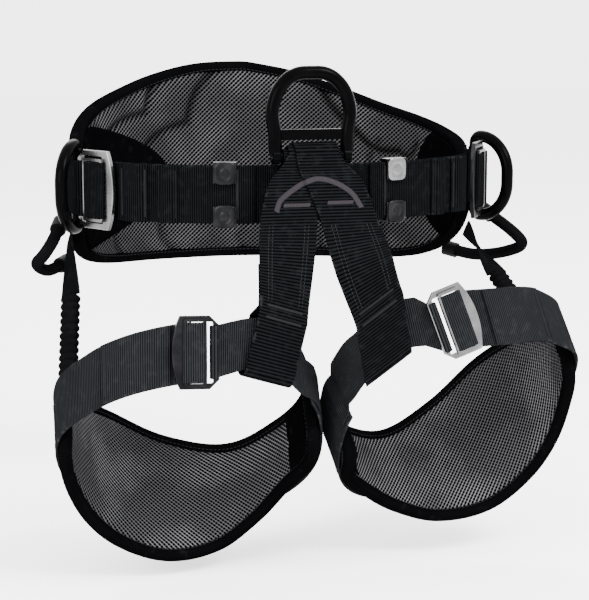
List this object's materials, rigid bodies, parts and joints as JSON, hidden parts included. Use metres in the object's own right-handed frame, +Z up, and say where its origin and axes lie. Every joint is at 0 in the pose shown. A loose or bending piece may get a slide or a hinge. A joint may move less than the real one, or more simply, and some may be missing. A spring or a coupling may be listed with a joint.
{
  "type": "tree climbing saddle",
  "caption": "Padded waist belt with a swinging ventral ring, side rings, gear loops and two padded leg loops hung on webbing risers.",
  "frame": {"origin": "centre of the waist opening, at the middle of the front webbing's width", "axes": "+Z up along the waist axis, +X towards the wearer's left hand, -Y is the front of the wearer"},
  "size_m": [0.4253, 0.3279, 0.3887],
  "materials": {
    "binding": "black bound edge with a stitch row",
    "black_metal": "glossy black anodised",
    "elastic": "ribbed black elastic",
    "foam": "closed-cell foam core",
    "forged_ring": "glossy black forged, softened edges",
    "gear_tube": "woven black cover over a stiff core",
    "keeper_metal": "satin",
    "moulded": "moulded black plastic",
    "satin_steel": "satin, rounded edges",
    "screw_steel": "dark steel",
    "shell_fabric": "black plain-weave nylon",
    "spacer_mesh": "grey knitted spacer mesh with a diagonal hole pattern",
    "webbing": "black polyester webbing with fine ribs"
  },
  "bodies": {
    "belt": {"gear_loop_ferrules": "moulded", "gear_loop_left": "gear_tube", "gear_loop_right": "gear_tube", "rear_elastic_left": "elastic", "rear_elastic_right": "elastic", "side_ring_tab_left": "webbing", "side_ring_tab_right": "webbing", "tool_slot_loops_left": "webbing", "tool_slot_loops_right": "webbing", "ventral_bridge_webbing": "webbing", "waist_back_webbing": "webbing", "waist_binding": "binding", "waist_end_patches": "shell_fabric", "waist_foam": "foam", "waist_mesh_liner": "spacer_mesh", "waist_outer_shell": "shell_fabric", "waist_strap_left": "webbing", "waist_strap_right": "webbing", "waist_strap_tail_left": "webbing", "waist_strap_tail_right": "webbing", "yoke_webbing_left": "webbing", "yoke_webbing_right": "webbing"},
    "ventral_ring": {"ventral_ring": "forged_ring", "ventral_ring_bar": "black_metal", "ventral_ring_screws": "screw_steel"},
    "side_ring_left": {"side_ring_left": "black_metal"},
    "waist_buckle_left": {"waist_buckle_frame_left": "satin_steel"},
    "waist_slider_left": {"waist_buckle_slider_left": "satin_steel", "waist_buckle_wrap_left": "webbing"},
    "leg_buckle_left": {"leg_buckle_frame_left": "satin_steel"},
    "leg_slider_left": {"leg_buckle_slider_left": "satin_steel", "leg_buckle_wrap_left": "webbing"},
    "keeper_left": {"strap_keeper_left": "keeper_metal"},
    "leg_left": {"leg_binding_left": "binding", "leg_end_patch_left": "shell_fabric", "leg_fixed_strap_left": "webbing", "leg_foam_left": "foam", "leg_mesh_liner_left": "spacer_mesh", "leg_outer_shell_left": "shell_fabric", "leg_riser_left": "webbing", "leg_strap_left": "webbing", "leg_strap_tail_left": "webbing"},
    "side_ring_right": {"side_ring_right": "black_metal"},
    "waist_buckle_right": {"waist_buckle_frame_right": "satin_steel"},
    "waist_slider_right": {"waist_buckle_slider_right": "satin_steel", "waist_buckle_wrap_right": "webbing"},
    "leg_buckle_right": {"leg_buckle_frame_right": "satin_steel"},
    "leg_slider_right": {"leg_buckle_slider_right": "satin_steel", "leg_buckle_wrap_right": "webbing"},
    "keeper_right": {"strap_keeper_right": "keeper_metal"},
    "leg_right": {"leg_binding_right": "binding", "leg_end_patch_right": "shell_fabric", "leg_fixed_strap_right": "webbing", "leg_foam_right": "foam", "leg_mesh_liner_right": "spacer_mesh", "leg_outer_shell_right": "shell_fabric", "leg_riser_right": "webbing", "leg_strap_right": "webbing", "leg_strap_tail_right": "webbing"}
  },
  "joints": [
    {"name": "ventral_ring_swing", "type": "hinge", "parent": "belt", "child": "ventral_ring", "pos_m": [-0.004, -0.125, 0.03], "axis": [1, 0, 0], "range_deg": [-22, 92]},
    {"name": "side_ring_left_swing", "type": "hinge", "parent": "belt", "child": "side_ring_left", "pos_m": [-0.1685, -0.01594, 0], "axis": [0, 0, -1], "range_deg": [-15, 30]},
    {"name": "waist_buckle_left_tilt", "type": "hinge", "parent": "belt", "child": "waist_buckle_left", "pos_m": [-0.1681, -0.03292, 0], "axis": [0, 0, -1], "range_deg": [0, 20]},
    {"name": "waist_slider_left_slide", "type": "slide", "parent": "waist_buckle_left", "child": "waist_slider_left", "axis": [-0.5202, 0.8541, 0], "range_m": [0, 0.002]},
    {"name": "leg_buckle_left_tilt", "type": "hinge", "parent": "leg_left", "child": "leg_buckle_left", "pos_m": [-0.09464, -0.19509, -0.10553], "axis": [0.0275, 0.1175, 0.9927], "range_deg": [0, 20]},
    {"name": "leg_slider_left_slide", "type": "slide", "parent": "leg_buckle_left", "child": "leg_slider_left", "axis": [0.9969, -0.0764, -0.0186], "range_m": [0, 0.002]},
    {"name": "keeper_left_slide", "type": "slide", "parent": "belt", "child": "keeper_left", "axis": [-0.9551, 0.2964, 0], "range_m": [-0.006, 0.006]},
    {"name": "leg_left_swing", "type": "hinge", "parent": "belt", "child": "leg_left", "pos_m": [-0.0269, -0.14555, -0.014], "axis": [-1, 0, 0], "range_deg": [0, 25], "deforming": ["rear_elastic_left"]},
    {"name": "side_ring_right_swing", "type": "hinge", "parent": "belt", "child": "side_ring_right", "pos_m": [0.1685, -0.01594, 0], "axis": [0, 0, 1], "range_deg": [-15, 30]},
    {"name": "waist_buckle_right_tilt", "type": "hinge", "parent": "belt", "child": "waist_buckle_right", "pos_m": [0.1681, -0.03292, 0], "axis": [0, 0, 1], "range_deg": [0, 20]},
    {"name": "waist_slider_right_slide", "type": "slide", "parent": "waist_buckle_right", "child": "waist_slider_right", "axis": [0.5202, 0.8541, 0], "range_m": [0, 0.002]},
    {"name": "leg_buckle_right_tilt", "type": "hinge", "parent": "leg_right", "child": "leg_buckle_right", "pos_m": [0.07608, -0.1956, -0.09555], "axis": [0.3343, -0.0953, -0.9376], "range_deg": [0, 20]},
    {"name": "leg_slider_right_slide", "type": "slide", "parent": "leg_buckle_right", "child": "leg_slider_right", "axis": [-0.9423, -0.0145, -0.3345], "range_m": [0, 0.002]},
    {"name": "keeper_right_slide", "type": "slide", "parent": "belt", "child": "keeper_right", "axis": [0.9551, 0.2964, 0], "range_m": [-0.006, 0.006]},
    {"name": "leg_right_swing", "type": "hinge", "parent": "belt", "child": "leg_right", "pos_m": [0.0185, -0.14785, -0.014], "axis": [-1, 0, 0], "range_deg": [0, 25], "deforming": ["rear_elastic_right"]}
  ]
}
